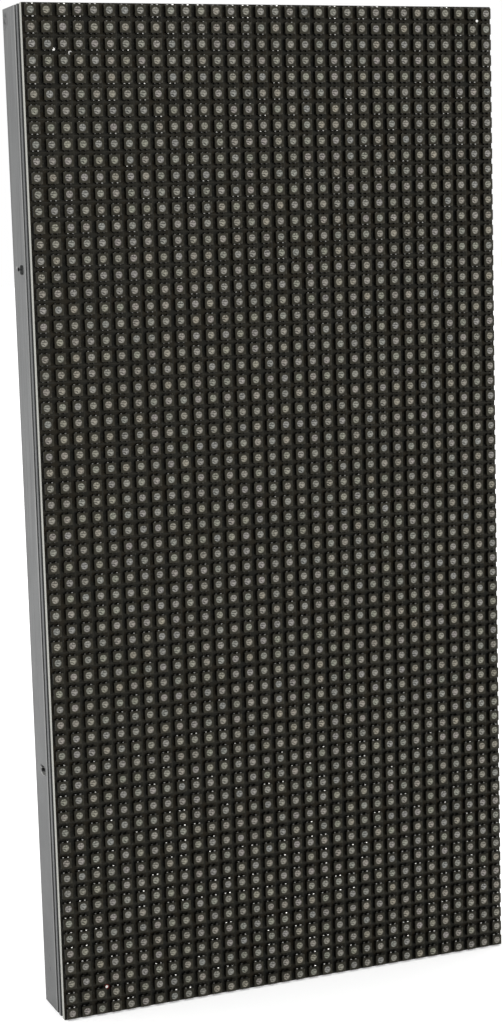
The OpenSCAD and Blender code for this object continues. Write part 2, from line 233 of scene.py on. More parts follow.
board_finish, tree, shader = new_finish(
    "board_solder_mask", Roughness=0.5, IOR=1.5, Specular_IOR_Level=0.20, Specular_Tint=GLEAM_TINT)
point = place_mm(tree)
x, y, z = parts_of(tree, point)
texture = use_group(tree, grain, Grains_per_mm=3.0, Clouds_per_mm=0.2)
# Tracks run both ways on a fixed grid; each patch of board has them or not. Noise decides
# which crossings have a via.
via_noise = put(tree, "TexNoise", Vector=point, Scale=0.11, Detail=1.0).outputs[0]
patches = put(tree, "TexVoronoi", feature="F1", Scale=0.13, Vector=point, distance="CHEBYCHEV")
patches = parts_of(tree, patches.outputs["Color"])
tracks = []
for across, patch in ((z, patches["X"]), (x, patches["Y"])):
    line = calc(tree, "LESS_THAN", calc(tree, "PINGPONG", across, TRACK_GRID / 2), TRACK_HALF)
    tracks.append(times(tree, line, calc(tree, "GREATER_THAN", patch, 0.5)))
via_x = calc(tree, "SUBTRACT", calc(tree, "PINGPONG", x, TRACK_GRID), TRACK_GRID / 2)
via_z = calc(tree, "SUBTRACT", calc(tree, "PINGPONG", z, TRACK_GRID), TRACK_GRID / 2)
via = calc(tree, "LESS_THAN", distance(tree, via_x, via_z), VIA_RADIUS)
vias = times(tree, via, calc(tree, "GREATER_THAN", via_noise, 0.53))
raised = most(tree, *tracks, vias)
hue = put(tree, "TexNoise", Vector=point, Scale=0.3, Detail=2.0).outputs[0]
mask_colour = mix(tree, spread(tree, hue, 0.40, 0.60, 0, 1), MASK_WARM, MASK_COOL)
mask_colour = mix(tree, raised, mask_colour, MASK_OVER_TRACK)
specks = use_group(tree, dust, Cells_per_mm=2.2, Share=0.08, Size=0.16)["Mask"]
mask_colour = mix(tree, times(tree, specks, 0.6), mask_colour, MASK_SPECK)


def disc(tree, middle, radius):
    """One inside a circle about a point of the board, nought outside."""
    across, up = middle
    dx = calc(tree, "SUBTRACT", x, across)
    dz = calc(tree, "SUBTRACT", z, board_middle / MM + up)
    return calc(tree, "LESS_THAN", distance(tree, dx, dz), radius)


# Bare tinned spots, by which the placing machine finds the board. One has a copper rim.
# Beside the first is a hole that solder half fills, so only an arc of it is bright.
facing = parts_of(tree, put(tree, "NewGeometry").outputs["Normal"])["Y"]
ahead = calc(tree, "LESS_THAN", facing, -0.5)
hole = (FILLED_HOLE[0] + 0.15, FILLED_HOLE[1] - 0.12)
arc = calc(tree, "SUBTRACT", disc(tree, FILLED_HOLE, 0.36), disc(tree, hole, 0.30), clamp=True)
bare = most(tree, disc(tree, SPOT_UPPER_LEFT, 0.27), disc(tree, SPOT_UPPER_RIGHT, 0.26),
            disc(tree, SPOT_LOWER_LEFT, 0.27), times(tree, arc, 0.6))
bare = times(tree, bare, ahead)
rim = times(tree, disc(tree, SPOT_LOWER_LEFT, 0.48), ahead)
mask_colour = mix(tree, rim, mask_colour, COPPER)
mask_colour = mix(tree, bare, mask_colour, TIN)
side_on = calc(tree, "LESS_THAN", calc(tree, "ABSOLUTE", facing), 0.5)
fibre = put(tree, "TexNoise", Vector=point, Scale=6.0, Detail=4.0).outputs[0]
layers = calc(tree, "PINGPONG", y, 0.1)
fibre = calc(tree, "ADD", fibre, times(tree, layers, 2.0))
edge_colour = mix(tree, spread(tree, fibre, 0.35, 0.75, 0, 1), LAMINATE_DARK, LAMINATE)
feed(tree, shader,
     Base_Color=mix(tree, side_on, mask_colour, edge_colour),
     Metallic=bare,
     Roughness=spread(tree, texture["Clouds"], 0.3, 0.7, 0.42, 0.58),
     Normal=bump(tree, raised, 0.02, bump(tree, texture["Height"], 0.012)))
wear_finish("led_board", board_finish)

# --------------------------------------------------------------------
# LED packages
# Each is a square black housing moulded round four tin-plated leads, with a round cup of
# cloudy cast resin over the three chips. They are placed by machine and reflow-soldered,
# so no two sit quite alike. One piece holds the 256 housings, lenses or leads of a block.
# --------------------------------------------------------------------
LED_PITCH = 3.0
LED_BLOCKS = 8
LED_HALF = 1.045
LED_TAPER = 0.985
LED_TOP = 1.02
LED_EDGE = 0.05
LED_CORNER = 0.10
LENS_RADIUS = 0.675
LENS_SINK = 0.03
CUP_DEPTH = 0.10
LEAD_X = 0.49
LEAD_HALF = 0.14
LEAD_OUT = 0.64
LEAD_KINDS = 12
BLOCK_SIDE = 16
BLOCKS_ACROSS = 2
LED_COLUMNS = 32
LED_ROWS = 64
led_rng = random.Random(21)


def loft(rings, start=True, end=True):
    """A skin through rings of points, closed at its ends. Front faces look along -Y."""
    count = len(rings[0])
    points = [Vector(p) for ring in rings for p in ring]
    faces = []
    for level in range(len(rings) - 1):
        low = level * count
        for i in range(count):
            j = (i + 1) % count
            faces.append((low + i, low + j, low + count + j, low + count + i))
    if start:
        faces.append(tuple(reversed(range(count))))
    if end:
        faces.append(tuple(range(len(points) - count, len(points))))
    return points, faces


def joined(parts):
    """Several skins as one."""
    points, faces = [], []
    for part_points, part_faces in parts:
        base = len(points)
        points.extend(part_points)
        faces.extend(tuple(base + i for i in face) for face in part_faces)
    return points, faces


def moved(part, matrix):
    """A copy of a skin, moved by a matrix."""
    return [matrix @ p for p in part[0]], part[1]


def repeated(part, seats):
    """Copies of a skin, one at each seat, as one skin."""
    return joined([moved(part, seat) for seat in seats])


def make_piece(name, part, finish, sharp=35, closed=True):
    """A piece of the tile from one skin: shaded smooth, but sharp over edges past sharp."""
    mesh = bpy.data.meshes.new(name)
    mesh.from_pydata([tuple(p) for p in part[0]], [], part[1])
    shape = bmesh.new()
    shape.from_mesh(mesh)
    if closed:
        bmesh.ops.recalc_face_normals(shape, faces=shape.faces)
    for face in shape.faces:
        face.smooth = True
    for edge in shape.edges:
        edge.smooth = edge.calc_face_angle(0) < math.radians(sharp)
    shape.to_mesh(mesh)
    shape.free()
    mesh.materials.append(finish)
    piece = bpy.data.objects.new(name, mesh)
    bpy.context.scene.collection.objects.link(piece)
    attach(piece, "root")
    return piece


def housing_ring(half, corner, height, notch=0.0):
    """Twenty points round a square with cut corners; notch cuts the marked corner more."""
    ring = []
    for turn, (sx, sz) in enumerate(((1, 1), (-1, 1), (-1, -1), (1, -1))):
        cut = corner + (notch if turn == 3 else 0)
        ends = [(half, half - cut), (half - cut, half)]
        if turn % 2:
            ends.reverse()
        ring += [(sx * u, -height, sz * v) for u, v in ends]
        for step in (-0.5, 0, 0.5):
            if turn % 2 == 0:
                ring.append((-sx * step * half, -height, sz * half))
            else:
                ring.append((sx * half, -height, -sz * step * half))
    return ring


def lens_ring(radius, height, pattern):
    """Points round a circle, each in line with the matching point of a housing ring."""
    ring = []
    for px, _, pz in pattern:
        angle = math.atan2(pz, px)
        ring.append((radius * math.cos(angle), -height, radius * math.sin(angle)))
    return ring


foot = housing_ring(LED_HALF, LED_CORNER, 0)
shoulder = housing_ring(LED_HALF * LED_TAPER, LED_CORNER, LED_TOP - LED_EDGE)
top_edge = housing_ring(LED_HALF * LED_TAPER - LED_EDGE, 0.09, LED_TOP, 0.16)
cup_edge = lens_ring(LENS_RADIUS + 0.03, LED_TOP, top_edge)
cup_wall = lens_ring(LENS_RADIUS, LED_TOP - LENS_SINK, top_edge)
cup_floor = lens_ring(LENS_RADIUS * 0.96, LED_TOP - CUP_DEPTH, top_edge)
housing = loft([foot, shoulder, top_edge, cup_edge, cup_wall, cup_floor])
lens = loft([
    lens_ring(LENS_RADIUS, LED_TOP - LENS_SINK, top_edge),
    lens_ring(LENS_RADIUS * 0.70, LED_TOP - LENS_SINK * 0.6, top_edge),
    lens_ring(LENS_RADIUS * 0.30, LED_TOP - LENS_SINK * 0.4, top_edge)], start=False)

# A lead leaves the wall at half height, turns down, and ends in a fillet of solder. Its
# shoulder droops by a different amount on every package.
lead_sets = []
for _ in range(LEAD_KINDS):
    skins = []
    for way in (1, -1):
        for side in (-1, 1):
            low = LEAD_OUT - led_rng.uniform(-0.02, 0.09)
            line = ((0.94, LEAD_OUT), (1.18, low), (1.21, low - 0.04), (1.21, 0.16), (1.26, 0.05),
                    (1.32, 0.0), (0.94, 0.0))
            skins.append(loft([[(side * LEAD_X + end * LEAD_HALF, -h, way * out) for out, h in line]
                               for end in (-1, 1)]))
    lead_sets.append(joined(skins))

# LED cell: which package a point belongs to, where it lies on it, and three draws for it.
cell, cell_in, cell_out = new_group(
    "led_cell", {"Pitch": LED_PITCH},
    {"Across": "Float", "Up": "Float", "From centre": "Float",
     "First draw": "Float", "Second draw": "Float", "Third draw": "Float"})
x, y, z = parts_of(cell, place_mm(cell))
column = calc(cell, "ADD", calc(cell, "DIVIDE", x, cell_in["Pitch"]), LED_COLUMNS / 2)
row = calc(cell, "DIVIDE", calc(cell, "SUBTRACT", z, board_middle / MM), cell_in["Pitch"])
row = calc(cell, "ADD", row, LED_ROWS / 2)
place = {}
for label, value in (("Across", column), ("Up", row)):
    part = calc(cell, "SUBTRACT", calc(cell, "FRACT", value), 0.5)
    place[label] = times(cell, part, cell_in["Pitch"])
    cell.links.new(place[label], cell_out[label])
cell.links.new(distance(cell, place["Across"], place["Up"]), cell_out["From centre"])
seat = put(cell, "CombineXYZ", X=calc(cell, "FLOOR", column), Y=calc(cell, "FLOOR", row))
draws = put(cell, "TexWhiteNoise", noise_dimensions="2D", Vector=seat.outputs[0])
for label, value in zip(("First", "Second", "Third"), parts_of(cell, draws.outputs["Color"])):
    cell.links.new(value, cell_out[label + " draw"])

# Housing: matt black plastic. Its walls are coloured darker than its face: painted shade for the narrow
# gaps between packages. Three corners of the face are paler where it was rubbed, and paler still up the
# tile as a painted highlight; low on the tile the upper left of each face is darkened as painted shade.
WALL_BLACK_SHADED = (0.0035, 0.0032, 0.0026, 1)
FACE_DARK = (0.0125, 0.0116, 0.0086, 1)
FACE_PALE = (0.0200, 0.0184, 0.0136, 1)
FACE_RUBBED_HIGHLIGHT = (0.070, 0.067, 0.058, 1)
FACE_PAINTED_SHADE = (0.0060, 0.0056, 0.0046, 1)
FACE_SPECK = (0.10, 0.10, 0.09, 1)
housing_finish, tree, shader = new_finish(
    "led_housing_plastic", IOR=1.45, Specular_IOR_Level=0.26, Specular_Tint=GLEAM_TINT)
spot = use_group(tree, cell, Pitch=LED_PITCH)
texture = use_group(tree, grain, Grains_per_mm=7.0, Clouds_per_mm=0.5)
# Rubbed corners, made paler up the tile as a painted highlight.
corner = spread(tree, spot["From centre"], 1.0, 1.34, 0, 1)
marked = calc(tree, "ADD", spot["Across"], spot["Up"])
corner = times(tree, corner, spread(tree, marked, -1.2, -0.6, 0, 1))
level = parts_of(tree, place_mm(tree))["Z"]
corner = times(tree, corner, spread(tree, level, 100, 185, 0.7, 1.8))
rubbed_and_highlight = times(tree, corner, spread(tree, texture["Height"], 0.4, 0.6, 0.2, 1))
face = mix(tree, spot["Second draw"], FACE_DARK, FACE_PALE)
face = mix(tree, times(tree, rubbed_and_highlight, 0.55), face, FACE_RUBBED_HIGHLIGHT)
# Low on the tile the upper left of each face is darkened: painted shade.
low_row_shade = spread(tree, level, 25, 100, 0.55, 0)
away = spread(tree, calc(tree, "SUBTRACT", spot["Across"], spot["Up"]), -1.7, 0.4, 1, 0)
face = mix(tree, times(tree, low_row_shade, away), face, FACE_PAINTED_SHADE)
specks = use_group(tree, dust, Cells_per_mm=2.5, Share=0.06, Size=0.15)["Mask"]
face = mix(tree, times(tree, specks, 0.4), face, FACE_SPECK)
# Walls darker than the face: painted shade for the gaps between packages.
ahead = parts_of(tree, put(tree, "NewGeometry").outputs["Normal"])["Y"]
on_face = spread(tree, calc(tree, "ABSOLUTE", ahead), 0.45, 0.85, 0, 1)
feed(tree, shader,
     Base_Color=mix(tree, on_face, WALL_BLACK_SHADED, face),
     Roughness=calc(tree, "ADD", spread(tree, texture["Height"], 0.3, 0.7, 0.24, 0.40),
                    times(tree, on_face, 0.26)),
     Normal=bump(tree, texture["Height"], 0.012))

# Lens: cloudy resin over the chips and the four pads of the lead frame, whose gaps show
# as dark lines through it. Each line is given by its ends, half width and depth.
PAD_GAPS = (((-0.01, 0.62), (-0.01, 0.28), 0.13, 0.80), ((-0.42, 0.20), (0.42, 0.23), 0.14, 0.90),
            ((-0.56, -0.14), (-0.20, -0.17), 0.15, 0.95), ((-0.20, -0.17), (0.03, -0.35), 0.15, 0.95),
            ((0.20, -0.60), (0.32, -0.44), 0.14, 0.60), ((0.38, -0.44), (0.56, -0.20), 0.20, 0.60))
lens_finish, tree, shader = new_finish("led_lens_resin", IOR=1.45, Specular_IOR_Level=0.3)
spot = use_group(tree, cell, Pitch=LED_PITCH)
texture = use_group(tree, grain, Grains_per_mm=6.0, Clouds_per_mm=0.1)
shade = spread(tree, spot["Second draw"], 0, 1, 0.194, 0.237)
mottle = put(tree, "TexNoise", Vector=place_mm(tree), Scale=3.2, Detail=2.0).outputs[0]
shade = times(tree, shade, spread(tree, mottle, 0.3, 0.7, 0.86, 1.14))
# The resin settles unevenly, so the pads under it look a little bent.
drift = put(tree, "TexNoise", Vector=place_mm(tree), Scale=1.6, Detail=1.0).outputs["Color"]
drift = parts_of(tree, drift)
across = calc(tree, "ADD", spot["Across"], spread(tree, drift["X"], 0.3, 0.7, -0.06, 0.06))
# The right side of each lens is darkened: painted shade.
shade = times(tree, shade, spread(tree, across, 0.1, 0.6, 1, 0.90))
up = calc(tree, "ADD", spot["Up"], spread(tree, drift["Z"], 0.3, 0.7, -0.06, 0.06))


def stroke(tree, across, up, start, end, half_width):
    """A soft line from one point to another on the package, in millimetres: 1 on it."""
    ax, az = start
    bx, bz = end
    length = math.hypot(bx - ax, bz - az)
    ux, uz = (bx - ax) / length, (bz - az) / length
    dx = calc(tree, "SUBTRACT", across, ax)
    dz = calc(tree, "SUBTRACT", up, az)
    run = calc(tree, "ADD", times(tree, dx, ux), times(tree, dz, uz))
    run = most(tree, calc(tree, "MINIMUM", run, length), 0.0)
    ox = calc(tree, "SUBTRACT", dx, times(tree, run, ux))
    oz = calc(tree, "SUBTRACT", dz, times(tree, run, uz))
    return spread(tree, distance(tree, ox, oz), half_width * 0.45, half_width, 1, 0)


def redraw(tree, draw, factor):
    """Another even draw from 0 to 1, out of one that was made before."""
    return calc(tree, "FRACT", times(tree, draw, factor))


lines = []
for number, (start, end, half_width, depth) in enumerate(PAD_GAPS):
    line = stroke(tree, across, up, start, end, half_width)
    own = redraw(tree, spot["Second draw"], 13.0 + 8 * number)
    lines.append(times(tree, line, spread(tree, own, 0, 1, depth * 0.68, depth)))
gaps = most(tree, *lines)
rim = spread(tree, spot["From centre"], 0.52, 0.69, 0, 0.6)
gaps = times(tree, gaps, spread(tree, spot["Third draw"], 0, 1, 0.86, 1.04))
dark = most(tree, gaps, rim)
light = times(tree, calc(tree, "SUBTRACT", 1.0, dark), shade)
red = times(tree, light, spread(tree, spot["First draw"], 0, 1, 0.985, 1.105))
fourth_draw = redraw(tree, spot["First draw"], 37.0)
blue = times(tree, light, spread(tree, fourth_draw, 0, 1, 0.775, 0.935))
resin = put(tree, "CombineColor", Red=red, Green=light, Blue=blue)
feed(tree, shader, Base_Color=resin.outputs[0],
     Roughness=spread(tree, texture["Clouds"], 0.3, 0.7, 0.42, 0.58),
     Normal=bump(tree, texture["Height"], 0.01))

# Leads: tin plate, whose colour is a painted glint: bright tin on about half of the packages at random
# and on all in the first column, brighter on the right lead; the upper leads glint low on the tile and
# along its top edge, the lower ones high up. Elsewhere they are a dark grey.
LEAD_UNLIT = (0.035, 0.034, 0.032, 1)
FIRST_COLUMN = -45
TOP_EDGE = 191.0
lead_finish, tree, shader = new_finish("led_lead_tin", Metallic=1.0)
spot = use_group(tree, cell, Pitch=LED_PITCH)
texture = use_group(tree, grain, Grains_per_mm=5.0, Clouds_per_mm=0.4)
tin = mix(tree, texture["Clouds"], (0.62, 0.61, 0.58, 1), (0.92, 0.91, 0.88, 1))
x, y, z = parts_of(tree, place_mm(tree))
painted_glint = spread(tree, spot["Third draw"], 0.45, 0.65, 1, 0.12)
painted_glint = most(tree, painted_glint, calc(tree, "LESS_THAN", x, FIRST_COLUMN))
painted_glint = times(tree, painted_glint, spread(tree, spot["Across"], -0.2, 0.2, 0.6, 1))
upper = spread(tree, z, 10, 65, 0.78, 0.08)
upper = most(tree, upper, calc(tree, "GREATER_THAN", z, TOP_EDGE))
upper = times(tree, upper, calc(tree, "GREATER_THAN", spot["Up"], 0.0))
lower = spread(tree, z, 120, 165, 0.06, 0.40)
lower = times(tree, lower, calc(tree, "LESS_THAN", spot["Second draw"], 0.5))
lower = times(tree, lower, calc(tree, "LESS_THAN", spot["Up"], 0.0))
painted_glint = times(tree, painted_glint, calc(tree, "ADD", upper, lower))
feed(tree, shader,
     Base_Color=mix(tree, painted_glint, LEAD_UNLIT, tin),
     Roughness=spread(tree, spot["First draw"], 0, 1, 0.10, 0.26),
     Normal=bump(tree, texture["Height"], 0.008))

for block in range(LED_BLOCKS):
    across, up = block % BLOCKS_ACROSS, block // BLOCKS_ACROSS
    bodies, lenses, contacts = [], [], []
    for row in range(BLOCK_SIDE):
        for column in range(BLOCK_SIDE):
            at_x = (across * BLOCK_SIDE + column - (LED_COLUMNS - 1) / 2) * LED_PITCH
            at_z = (up * BLOCK_SIDE + row - (LED_ROWS - 1) / 2) * LED_PITCH
            lean = Euler((math.radians(led_rng.uniform(-0.35, 0.35)),
                          math.radians(led_rng.uniform(-0.9, 0.9)),
                          math.radians(led_rng.uniform(-0.35, 0.35)))).to_matrix().to_4x4()
            at_x += led_rng.uniform(-0.02, 0.02)
            at_z += led_rng.uniform(-0.02, 0.02)
            seat = Matrix.Translation((at_x * MM, board_front, board_middle + at_z * MM))
            seat = seat @ lean @ Matrix.Scale(MM, 4)
            bodies.append(moved(housing, seat))
            lenses.append(moved(lens, seat))
            contacts.append(moved(led_rng.choice(lead_sets), seat))
    number = str(block + 1)
    shell = make_piece("led_housings_" + number, joined(bodies), housing_finish)
    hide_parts("led_packages_" + number)
    make_piece("led_lenses_" + number, joined(lenses), lens_finish, closed=False)
    make_piece("led_leads_" + number, joined(contacts), lead_finish)

# --------------------------------------------------------------------
# Flat chips
# Column drivers, signal buffers, row decoders and row switches: black epoxy moulded round
# a tinned lead frame, so the sides slope both ways from the leads. A small ring moulded in
# the top marks the first lead. The gull-wing leads end flat on their pads.
# --------------------------------------------------------------------
CHIP_TOP = 1.6
CHIP_AIR = 0.15
CHIP_WAIST = 0.86
LEAD_THICK = 0.17
window_step = (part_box("data_out_shroud")[0].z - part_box("data_in_shroud")[0].z) / 2 / MM
driver_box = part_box("driver_chips")
DRIVER_SPAN = 6.0
driver_step = (driver_box[1].x / MM - DRIVER_SPAN / 2) * 2 / 3
DRIVER_LENGTH = 8.7
SWITCH_LENGTH = 4.9
BUFFER_SPAN = 10.3
driver_rise = (driver_box[1].z - board_middle) / MM - window_step - DRIVER_LENGTH / 2
NARROW_SPAN = 6.0


def behind(x, z):
    """Seats a part drawn in millimetres on the back of the board: its height points rearward."""
    seat = Matrix.Translation((x * MM, board_back, board_middle + z * MM))
    return seat @ Matrix.Rotation(math.pi, 4, "Z") @ Matrix.Scale(MM, 4)


def slab_ring(half_x, half_z, cut, height, at_x=0.0, at_z=0.0):
    """Eight points round a rectangle with cut corners."""
    flat = ((half_x, half_z - cut), (half_x - cut, half_z), (cut - half_x, half_z),
            (-half_x, half_z - cut), (-half_x, cut - half_z), (cut - half_x, -half_z),
            (half_x - cut, -half_z), (half_x, cut - half_z))
    return [(at_x + u, -height, at_z + v) for u, v in flat]


def circle_ring(radius, height, steps, at_x=0.0, at_z=0.0):
    """Points round a circle."""
    turns = [2 * math.pi * i / steps for i in range(steps)]
    return [(at_x + radius * math.cos(a), -height, at_z + radius * math.sin(a)) for a in turns]


def in_row(count, step):
    """Places of count things in a row, about the middle."""
    return [(i - (count - 1) / 2) * step for i in range(count)]


def chip_body(length, width):
    """Epoxy body: narrower at its top and foot than at the leads, with the first-lead ring."""
    x, z = width / 2, length / 2
    block = loft([slab_ring(x - 0.12, z - 0.12, 0.05, CHIP_AIR), slab_ring(x, z, 0.05, CHIP_WAIST),
                  slab_ring(x - 0.10, z - 0.10, 0.05, CHIP_TOP - 0.05),
                  slab_ring(x - 0.15, z - 0.15, 0.05, CHIP_TOP - 0.015)])
    ring = [circle_ring(r, h, 16, x - 0.75, z - 0.75)
            for r, h in ((0.34, CHIP_TOP - 0.03), (0.33, CHIP_TOP), (0.27, CHIP_TOP),
                         (0.26, CHIP_TOP - 0.03))]
    ring.append(ring[0])
    return joined([block, loft(ring, start=False, end=False)])


def chip_leads(width, span, count, step, lead_width):
    """Gull-wing leads down both sides."""
    root, toe = width / 2 - 0.05, span / 2
    knee = root + (toe - root) * 0.30
    heel = root + (toe - root) * 0.52
    top = CHIP_WAIST + LEAD_THICK / 2
    low = top - LEAD_THICK
    line = ((root, top), (knee, top), (heel + 0.06, LEAD_THICK + 0.02), (toe, LEAD_THICK),
            (toe, 0.02), (heel - 0.04, 0.02), (knee - 0.06, low), (root, low))
    skins = []
    for side in (-1, 1):
        for z in in_row(count, step):
            skins.append(loft([[(side * u, -h, z + end * lead_width / 2) for u, h in line]
                               for end in (-1, 1)]))
    return joined(skins)


def solder_pads(span, count, step, lead_width):
    """A pad under every lead, with solder drawn up round its toe."""
    skins = []
    for side in (-1, 1):
        for z in in_row(count, step):
            x = side * (span / 2 - 0.15)
            wide = lead_width / 2 + 0.06
            skins.append(loft([slab_ring(0.52, wide, 0.04, 0, x, z),
                               slab_ring(0.50, wide - 0.01, 0.04, 0.03, x, z),
                               slab_ring(0.30, wide - 0.05, 0.03, 0.10, x, z)]))
    return joined(skins)


def cloudy_finish(name, grains, clouds, dark, pale, rough, relief, rough_by="Clouds",
                  specks=None, **settings):
    """A material whose colour drifts between two in slow clouds, with fine grain over it.
    The specks are (cells to a millimetre, share, size, strength, colour)."""
    finish, tree, shader = new_finish(name, **settings)
    texture = use_group(tree, grain, Grains_per_mm=grains, Clouds_per_mm=clouds)
    colour = mix(tree, texture["Clouds"], (*dark, 1), (*pale, 1))
    if specks:
        cells, share, size, strength, tint = specks
        spots = use_group(tree, dust, Cells_per_mm=cells, Share=share, Size=size)["Mask"]
        colour = mix(tree, times(tree, spots, strength), colour, (*tint, 1))
    feed(tree, shader,
         Base_Color=colour,
         Roughness=spread(tree, texture[rough_by], 0.3, 0.7, *rough),
         Normal=bump(tree, texture["Height"], relief))
    return finish


chip_finish = cloudy_finish("chip_epoxy", 9.0, 0.35, (0.010, 0.010, 0.011), (0.030, 0.030, 0.032),
                            (0.38, 0.60), 0.015, IOR=1.5)
tin_finish = cloudy_finish("bright_tin", 4.0, 0.8, (0.42, 0.42, 0.41), (0.74, 0.74, 0.72),
                           (0.18, 0.42), 0.02, "Height", Metallic=1.0)

windows = (-window_step, 0.0, window_step)
driver_places = [(x, z + s * driver_rise) for z in windows
                 for x in in_row(4, driver_step) for s in (-1, 1)]
switch_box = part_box("row_switch_chips")
switch_rise = (switch_box[1].z - board_middle) / MM - SWITCH_LENGTH / 2
buffer_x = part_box("buffer_chips")[1].x / MM - BUFFER_SPAN / 2
decoder_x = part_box("decoder_chips")[1].x / MM - NARROW_SPAN / 2
joints = []
# Each body is given by its length and width, the leads by span, count, step and width.
for name, places, sizes, lead_sizes in (
        ("driver_chips", driver_places, (DRIVER_LENGTH, 3.9), (DRIVER_SPAN, 12, 0.635, 0.25)),
        ("buffer_chips", [(s * buffer_x, -window_step) for s in (-1, 1)],
         (12.8, 7.5), (BUFFER_SPAN, 10, 1.27, 0.42)),
        ("decoder_chips", [(s * decoder_x, window_step) for s in (-1, 1)],
         (9.9, 3.9), (NARROW_SPAN, 8, 1.27, 0.42)),
        ("row_switch_chips", [(x, s * switch_rise) for x in in_row(4, driver_step) for s in (-1, 1)],
         (SWITCH_LENGTH, 3.9), (NARROW_SPAN, 4, 1.27, 0.42))):
    body = chip_body(*sizes)
    legs = chip_leads(sizes[1], *lead_sizes)
    seats = [behind(*place) for place in places]
    shell = make_piece(name + "_bodies", repeated(body, seats), chip_finish, sharp=20)
    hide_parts(name)
    make_piece(name + "_leads", repeated(legs, seats), tin_finish, sharp=30)
    joints.append(repeated(solder_pads(*lead_sizes), seats))

# --------------------------------------------------------------------
# Ceramic capacitors and chip resistors
# Small bricks with tinned ends, one on each side of every driver. The capacitors are tan
# fired ceramic; the resistors are white ceramic under a black film.
# --------------------------------------------------------------------
SMALL_X = 4.4
SMALL_HALF = 0.8
END_LENGTH = 0.3


def brick(height):
    """The brick between its two metal ends, those ends, and the pads under them."""
    inner = SMALL_HALF - END_LENGTH
    core = [[(u, -h, z) for u, h in ((0.37, 0.03), (0.37, height - 0.03), (-0.37, height - 0.03),
                                     (-0.37, 0.03))] for z in (-inner, inner)]
    caps, pads = [], []
    for s in (-1, 1):
        middle = s * (SMALL_HALF - END_LENGTH / 2)
        caps.append(loft([slab_ring(0.40, END_LENGTH / 2, 0.05, 0.02, 0, middle),
                          slab_ring(0.40, END_LENGTH / 2, 0.05, height - 0.04, 0, middle),
                          slab_ring(0.36, END_LENGTH / 2 - 0.04, 0.05, height, 0, middle)]))
        out = s * (SMALL_HALF + 0.02)
        pads.append(loft([slab_ring(0.48, 0.42, 0.06, 0, 0, out),
                          slab_ring(0.46, 0.40, 0.06, 0.03, 0, out),
                          slab_ring(0.38, 0.20, 0.05, 0.22, 0, out)]))
    return loft(core), joined(caps), joined(pads)


fired_finish = cloudy_finish("fired_ceramic", 6.0, 0.9, (0.30, 0.21, 0.12), (0.46, 0.34, 0.21),
                             (0.34, 0.50), 0.015)
film_finish = cloudy_finish("resistor_film", 6.0, 0.9, (0.010, 0.011, 0.014), (0.028, 0.029, 0.034),
                            (0.22, 0.40), 0.015)
end_caps = []
for name, side, height, finish, slot in (
        ("ceramic_capacitors", 1, 0.8, fired_finish, "ceramic"),
        ("chip_resistors", -1, 0.5, film_finish, "resistor")):
    core, caps, pads = brick(height)
    seats = [behind(x + side * SMALL_X, z) for x, z in driver_places]
    body = make_piece(name + "_bodies", repeated(core, seats), finish)
    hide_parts(name)
    end_caps.append(repeated(caps, seats))
    joints.append(repeated(pads, seats))
make_piece("small_part_ends", joined(end_caps), tin_finish)

# --------------------------------------------------------------------
# Can capacitors
# Drawn aluminium cans crimped onto black plastic bases beside the power header. A black
# printed segment marks the negative side, and two flat leads come out under each base.
# --------------------------------------------------------------------
can_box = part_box("capacitor_cans")
CAN_RADIUS = 3.15
CAN_BASE = 1.0
CAN_TOP = 7.7
CAN_GAP = 2.3
SEGMENT_AT = 1.35
SEGMENT_RADIUS = 2.66
CAN_LEAD_Z = 3.35
can_outer = can_box[1].x / MM - CAN_RADIUS
can_inner = can_outer - 2 * CAN_RADIUS - CAN_GAP
can_seats = [behind(s * x, 0) for s in (-1, 1) for x in (can_inner, can_outer)]
can_line = ((3.10, CAN_BASE), (CAN_RADIUS, CAN_BASE + 0.12), (CAN_RADIUS, CAN_BASE + 0.55),
            (3.04, CAN_BASE + 0.75), (2.96, CAN_BASE + 1.0), (3.04, CAN_BASE + 1.25),
            (CAN_RADIUS, CAN_BASE + 1.45), (CAN_RADIUS, CAN_TOP - 0.38), (3.09, CAN_TOP - 0.18),
            (2.95, CAN_TOP - 0.05), (2.75, CAN_TOP), (2.62, CAN_TOP - 0.03), (1.2, CAN_TOP - 0.035))
can = loft([circle_ring(r, h, 48) for r, h in can_line])

can_finish, tree, shader = new_finish("drawn_aluminium", Metallic=1.0)
texture = use_group(tree, grain, Grains_per_mm=5.0, Clouds_per_mm=0.3)
drawn = put(tree, "Mapping", Vector=place_mm(tree))
drawn.inputs["Scale"].default_value = (6.0, 0.25, 6.0)
streaks = put(tree, "TexNoise", Vector=drawn.outputs[0], Scale=1.0, Detail=3.0).outputs[0]
feed(tree, shader,
     Base_Color=mix(tree, texture["Clouds"], (0.62, 0.63, 0.64, 1), (0.80, 0.81, 0.81, 1)),
     Roughness=spread(tree, streaks, 0.3, 0.7, 0.22, 0.40),
     Normal=bump(tree, streaks, 0.01, bump(tree, texture["Height"], 0.006)))
shell = make_piece("can_shells", repeated(can, can_seats), can_finish, sharp=50)
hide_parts("capacitor_cans")

half_arc = math.acos(SEGMENT_AT / SEGMENT_RADIUS)
turns = [half_arc * (i / 8 - 1) for i in range(17)]
segment = [[(SEGMENT_RADIUS * math.sin(a), -h, -SEGMENT_RADIUS * math.cos(a)) for a in turns]
           for h in (CAN_TOP - 0.05, CAN_TOP - 0.018)]
ink_finish = cloudy_finish("printed_ink", 8.0, 0.5, (0.012, 0.012, 0.013), (0.030, 0.030, 0.032),
                           (0.46, 0.64), 0.01, "Height")
make_piece("can_polarity_marks", repeated(loft(segment), can_seats),
           ink_finish, sharp=20)

